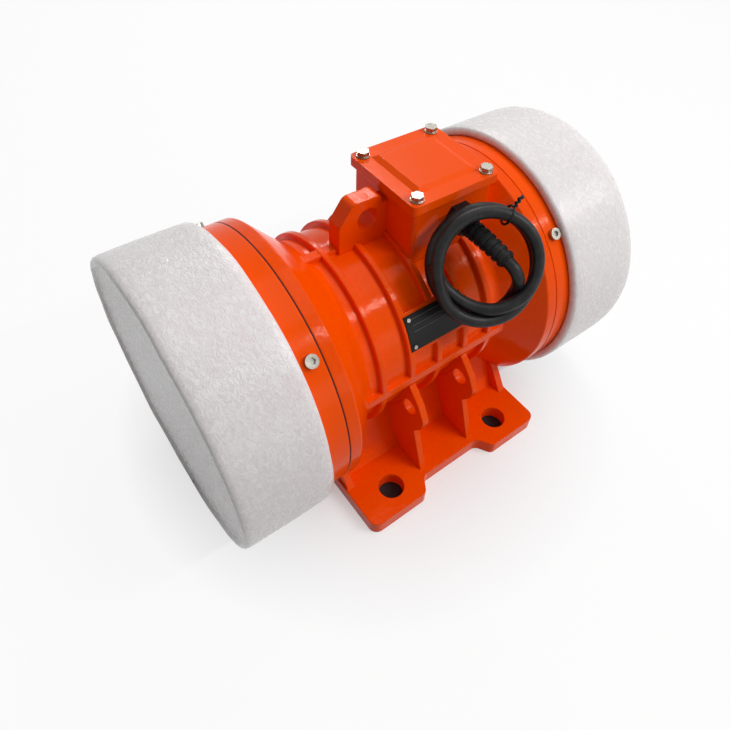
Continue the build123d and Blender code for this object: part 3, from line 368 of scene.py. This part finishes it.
def packing_foam():
    """White closed-cell foam with the fine creases of its skin, and a painted sheen on their ridges."""
    made = new_finish("white_packing_foam")
    place = made.position()
    broad = made.noise(place, 14, 2)
    creases = made.noise(made.stretched(place, 1.5, 1, 1), 230, 4, 0.6, 1.0)
    wrinkles = made.noise(place, 900, 3, 0.6, 0.6)
    tint = made.mix(made.steps(broad, (0.35, 0), (0.65, 1)), colour(222, 217, 217), colour(226, 215, 216))
    # Painted sheen: the raised crease ridges are painted lighter, as if they caught the light
    tint = made.mix(made.steps(creases, (0.35, 0.0), (0.62, 1.0)), tint, colour(234, 230, 229))
    return made.surface(
        Base_Color=tint,
        Roughness=made.steps(creases, (0.3, 0.15), (0.7, 0.3)),
        IOR=1.5,
        Subsurface_Weight=0.5,
        Subsurface_Radius=(0.008, 0.008, 0.008),
        Subsurface_Scale=1.0,
        Normal=made.bump(creases * 0.75 + wrinkles * 0.25, 0.0012, 0.5),
    )


def blank_plate():
    """Black plate with a few thin grey ruled lines, and nothing written on it."""
    row_base, row_height = 0.1465, 0.0042
    half_width, lowest, highest = 0.0215, 0.153, 0.178
    made = new_finish("black_plate")
    place = made.position()
    fine = made.noise(place, 500, 3, 0.6)
    height = made.axis(place, "Z")
    row = ((height - row_base) / row_height).wrapped(1.0).above(0.9)
    along = made.axis(place, "X")
    inside = made.node("ShaderNodeMath", {"operation": "ABSOLUTE"}, {0: along})
    ruled = row * (half_width - inside).above(0.0)
    ruled = ruled * (height - lowest).above(0.0) * (highest - height).above(0.0)
    shade = made.mix(made.steps(fine, (0.3, 0), (0.8, 1)), colour(12, 11, 11), colour(28, 27, 27))
    shade = made.mix(ruled * 0.45, shade, colour(120, 118, 116))
    return made.surface(
        Base_Color=shade,
        Roughness=made.steps(fine, (0.2, 0.3), (0.8, 0.45)),
        Specular_IOR_Level=0.15,
        Normal=made.bump(fine, 0.0001, 0.5, made.rounded_edges(0.0003)),
    )


CAST = cast_enamel()
SHEET = sheet_enamel()
ZINC = metal("zinc_plate", colour(178, 174, 164), colour(122, 118, 110), 0.28)
GROUND = metal("ground_steel", colour(190, 190, 192), colour(150, 150, 153), 0.22, 700, (0.2, 1, 1))
IRON = metal("bare_iron", colour(96, 95, 94), colour(70, 69, 68), 0.5, 300)
LAMINATED = metal("laminated_steel", colour(150, 152, 158), colour(112, 114, 120), 0.4, 1500, (1, 0.02, 0.02))
COPPER = metal("lacquered_copper", colour(196, 110, 62), colour(140, 66, 34), 0.3, 500, (0.3, 1, 1))
ALUMINIUM = metal("cast_aluminium", colour(200, 202, 205), colour(165, 167, 170), 0.4, 350)
BRASS = metal("brass", colour(206, 170, 96), colour(160, 124, 60), 0.3)
CABLE_BLACK = black_rubber("cable_jacket", 20, 0.42, 900)
RUBBER = black_rubber("sleeve_rubber", 15, 0.55)
PLASTIC = black_rubber("black_nylon", 16, 0.4, 500)
FOAM = packing_foam()
PLATE = blank_plate()

NODE_FINISH = {
    "housing": CAST,
    "mounting_feet": CAST,
    "lifting_lug": CAST,
    "terminal_box": CAST,
    "terminal_lid": SHEET,
    "weight_cover": SHEET,
    "stator_core": LAMINATED,
    "rotor_core": LAMINATED,
    "stator_winding": COPPER,
    "rotor_cage": ALUMINIUM,
    "shaft": GROUND,
    "end_washer": GROUND,
    "weight_spacer": GROUND,
    "bearing_outer": GROUND,
    "bearing_inner": GROUND,
    "bearing_rollers": GROUND,
    "roller_cage": BRASS,
    "terminal_studs": BRASS,
    "end_shield": IRON,
    "bearing_cap": IRON,
    "fixed_weight": IRON,
    "adjustable_weight": IRON,
    "end_shield_bolts": ZINC,
    "bearing_cap_bolts": ZINC,
    "fixed_weight_bolts": ZINC,
    "adjustable_weight_bolt": ZINC,
    "end_bolt": ZINC,
    "cover_screws": ZINC,
    "lid_screws": ZINC,
    "lid_washers": ZINC,
    "nameplate_rivets": ZINC,
    "gland": PLASTIC,
    "terminal_block": PLASTIC,
    "bend_sleeve": RUBBER,
    "lid_gasket": RUBBER,
    "cover_seal": RUBBER,
    "cover_seal_right": SHEET,
    "nameplate": PLATE,
}


def finish_for(node):
    """The finish of a CAD node, from the longest name in the table that its name starts with."""
    keys = [key for key in NODE_FINISH if node.startswith(key)]
    return NODE_FINISH[max(keys, key=len)] if keys else PLASTIC


for name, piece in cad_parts.items():
    piece.data.materials.clear()
    piece.data.materials.append(finish_for(name))


def dress(piece, finish, body, *nodes):
    """Gives a piece its finish and lets it ride with a body in place of CAD nodes."""
    piece.data.materials.append(finish)
    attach(piece, body)
    if nodes:
        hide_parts(*nodes)


dress(cable, CABLE_BLACK, "frame", "cable_lead", "cable_coil")


# Wire tie round the coil, with its place in degrees and its sizes in mm
TIE_ANGLE = 65
BAND_RADIUS = 37.8
BAND_HALF_WIDTH = 7.4
BAND_HALF_HEIGHT = 11.0
TAIL_RADIUS = 44.4
TAIL_FORWARD = 6.0
TAIL_STEPS = 14


def wire_tie():
    """The band round the coil's turns, and its two ends twisted together into a tail."""
    band = []
    for step in range(17):
        turn = 2 * math.pi * step / 16
        radius = BAND_RADIUS + BAND_HALF_WIDTH * math.cos(turn)
        band.append(on_coil(TIE_ANGLE, radius, BAND_HALF_HEIGHT * math.sin(turn)))
    tail = [on_coil(TIE_ANGLE, TAIL_RADIUS, TAIL_FORWARD)]
    for step in range(1, TAIL_STEPS + 1):
        swing = math.pi * step / 2.5
        angle = TIE_ANGLE + 1.3 * math.cos(swing)
        radius = TAIL_RADIUS + 0.62 * step
        forward = TAIL_FORWARD + 0.45 * step + 0.8 * math.sin(swing)
        tail.append(on_coil(angle, radius, forward))
    return [spline_curve("wire_tie_band", band, 0.0019), spline_curve("wire_tie_tail", tail, 0.0021)]


ties = wire_tie()
dress(ties[0], PLASTIC, "frame", "coil_tie")
dress(ties[1], PLASTIC, "frame")


# Foam sleeves, pressed flat where the motor stands on them
def foam_ring(name, profile, side, seed, turns=360):
    """A thick foam sleeve, slightly uneven, from its outline of (distance along the shaft, radius) in mm."""
    mesh = bmesh.new()
    rings = []
    for step in range(turns):
        angle = 2 * math.pi * step / turns
        ring = []
        for along, radius in profile:
            across, up = math.cos(angle), math.sin(angle)
            swell = noise.noise(Vector((along * 0.03, across * 1.6 + seed, up * 1.6))) * 0.8
            waver = noise.noise(Vector((seed * 3 + along * 0.01, across * 4, up * 4)))
            waver = waver * min(1, radius / 60) ** 2
            out = radius + (swell * 0.5 if radius > 105 else 0.0)
            out = min(max(out, FOAM_BORE if radius > 110 else 0), FOAM_LARGEST)
            height = SHAFT_HEIGHT + out / 1000 * up
            point = (side * (along + waver * 0.5) / 1000, out / 1000 * across, max(height, FOAM_FLOOR_GAP))
            ring.append(mesh.verts.new(point))
        rings.append(ring)
    for step in range(turns):
        here, there = rings[step], rings[(step + 1) % turns]
        for place in range(len(profile)):
            following = (place + 1) % len(profile)
            if profile[place][1] == 0 and profile[following][1] == 0:
                continue
            mesh.faces.new((here[place], there[place], there[following], here[following]))
    bmesh.ops.remove_doubles(mesh, verts=mesh.verts, dist=1e-6)
    bmesh.ops.recalc_face_normals(mesh, faces=mesh.faces)
    data = bpy.data.meshes.new(name)
    mesh.to_mesh(data)
    mesh.free()
    for face in data.polygons:
        face.use_smooth = True
    piece = bpy.data.objects.new(name, data)
    bpy.context.collection.objects.link(piece)
    return piece


# The left sleeve ends in a rim round a disc that lies a little lower, and the right one in a rounded edge
LEFT_OUTLINE = [
    (121.5, 111.2), (121.9, 114.0), (122.6, 116.4), (124.5, 117.2), (130, 117.4), (140, 117.5), (150, 117.5),
    (160, 117.5), (170, 117.4), (180, 117.3), (186, 117.1), (189.2, 116.4), (190.6, 115.0), (191.0, 113.2),
    (190.6, 111.6), (189.6, 110.5), (188.9, 109.5), (188.6, 107), (188.4, 90), (188.3, 60), (188.3, 25),
    (188.3, 0), (184.5, 0), (184.5, 60),
    (184.5, FOAM_BORE), (170, FOAM_BORE), (140, FOAM_BORE), (122.5, FOAM_BORE),
]
RIGHT_OUTLINE = [
    (118.8, 111.0), (119.0, 114.0), (119.8, 116.3), (122, 117.2), (128, 117.5), (140, 117.5), (155, 117.5),
    (170, 117.4), (182, 117.2), (190, 116.6), (194.5, 115.2), (197.6, 112.4), (199.3, 108.5), (199.9, 103),
    (200, 90), (200, 60), (200, 25), (200, 0), (184.5, 0), (184.5, 60),
    (184.5, FOAM_BORE), (150, FOAM_BORE), (119.5, FOAM_BORE),
]
foam_left = foam_ring("foam_sleeve_left", LEFT_OUTLINE, -1, 3.1)
foam_right = foam_ring("foam_sleeve_right", RIGHT_OUTLINE, 1, 7.7)
dress(foam_left, FOAM, "foam_left", "foam_left")
dress(foam_right, FOAM, "foam_right", "foam_right")


# Floor and backdrop, white to the camera and to what mirrors it, and greyer to the light they throw back
FLOOR_GLOW = 0.9
GLOW_START = 0.04
GLOW_FULL = 0.24
# Radius and soft edge of the painted shade under the bolt holes, in metres
HOLE_SHADE = 0.017
HOLE_SHADE_EDGE = 0.003
AMBIENT = 0.22


def floor_finish():
    """Pale paper that fades to plain white around the motor, with painted shade: near black under the bolt
    holes.
    """
    made = new_finish("white_floor")
    away = made.node("ShaderNodeVectorMath", {"operation": "LENGTH"}, {0: made.position()}, "Value")
    share = ((away - GLOW_START) / (GLOW_FULL - GLOW_START)).clamped()
    grey = made.node("ShaderNodeBsdfDiffuse", {}, {"Color": (0.5, 0.5, 0.5, 1)})
    # Painted shade: the paper turns near black under each bolt hole, standing for the shade seen through the
    # hole
    corner = made.node("ShaderNodeVectorMath", {"operation": "ABSOLUTE"}, {0: made.position()})
    offset = made.node("ShaderNodeVectorMath", {"operation": "DISTANCE"}, {0: corner, 1: FOOT_HOLE}, "Value")
    painted_hole_shade_mask = ((HOLE_SHADE - offset) / HOLE_SHADE_EDGE).clamped()
    pale = made.node("ShaderNodeBsdfDiffuse", {}, {"Color": (0.9, 0.9, 0.9, 1)})
    painted_hole_shade = made.node("ShaderNodeBsdfDiffuse", {}, {"Color": (0.04, 0.03, 0.03, 1)})
    paper = made.node("ShaderNodeMixShader", {}, {0: painted_hole_shade_mask, 1: pale, 2: painted_hole_shade})
    white = made.node("ShaderNodeEmission", {}, {"Color": (1, 1, 1, 1), "Strength": 1.0})
    glow = share * (1 - painted_hole_shade_mask) * FLOOR_GLOW
    shown = made.node("ShaderNodeMixShader", {}, {0: glow, 1: paper, 2: white})
    mixed = made.node("ShaderNodeMixShader", {}, {0: made.seen_or_mirrored(), 1: grey, 2: shown})
    made.node("ShaderNodeOutputMaterial", {}, {"Surface": mixed})
    return made.owner


floor_mesh = bpy.data.meshes.new("floor")
floor_mesh.from_pydata([(-6, -6, 0), (6, -6, 0), (6, 6, 0), (-6, 6, 0)], [], [(0, 1, 2, 3)])
floor_mesh.materials.append(floor_finish())
floor = bpy.data.objects.new("floor", floor_mesh)
bpy.context.collection.objects.link(floor)

bpy.context.scene.world = bpy.data.worlds.new("studio")
sky = Shading(bpy.context.scene.world)
ambient = sky.node("ShaderNodeBackground", {}, {"Color": (1, 1, 1, 1), "Strength": AMBIENT})
backdrop = sky.node("ShaderNodeBackground", {}, {"Color": (1, 1, 1, 1), "Strength": 1.0})
choice = sky.node("ShaderNodeMixShader", {}, {0: sky.seen_or_mirrored(), 1: ambient, 2: backdrop})
sky.node("ShaderNodeOutputWorld", {}, {"Surface": choice})


def lamp(name, place, target, along, width, height, power):
    """A soft rectangular lamp that looks at a point, with its width along a direction."""
    back = (Vector(place) - Vector(target)).normalized()
    side = (Vector(along) - back * back.dot(Vector(along))).normalized()
    up = back.cross(side)
    data = bpy.data.lights.new(name, "AREA")
    data.shape = "RECTANGLE"
    data.size = width
    data.size_y = height
    data.energy = power
    made = bpy.data.objects.new(name, data)
    turned = Matrix((side, up, back)).transposed().to_4x4()
    made.matrix_world = Matrix.Translation(place) @ turned
    bpy.context.collection.objects.link(made)


lamp("front_strip", (0.9, -1.02, 1.37), (0, 0, 0.12), (1, 0, 0), 0.9, 0.06, 14)
lamp("back_strip", (0.72, 1.1, 1.2), (0, 0, 0.12), (-0.25, 0.5, -0.33), 0.9, 0.08, 8)
lamp("soft_overhead", (0.5, -0.1, 1.7), (0, 0, 0.1), (1, 0, 0), 1.2, 1.2, 8)
lamp("low_fill", (0.5, -1.45, 0.32), (0, 0, 0.08), (1, 0, 0), 1.0, 0.5, 2.5)

scene = bpy.context.scene
scene.view_settings.view_transform = "Standard"
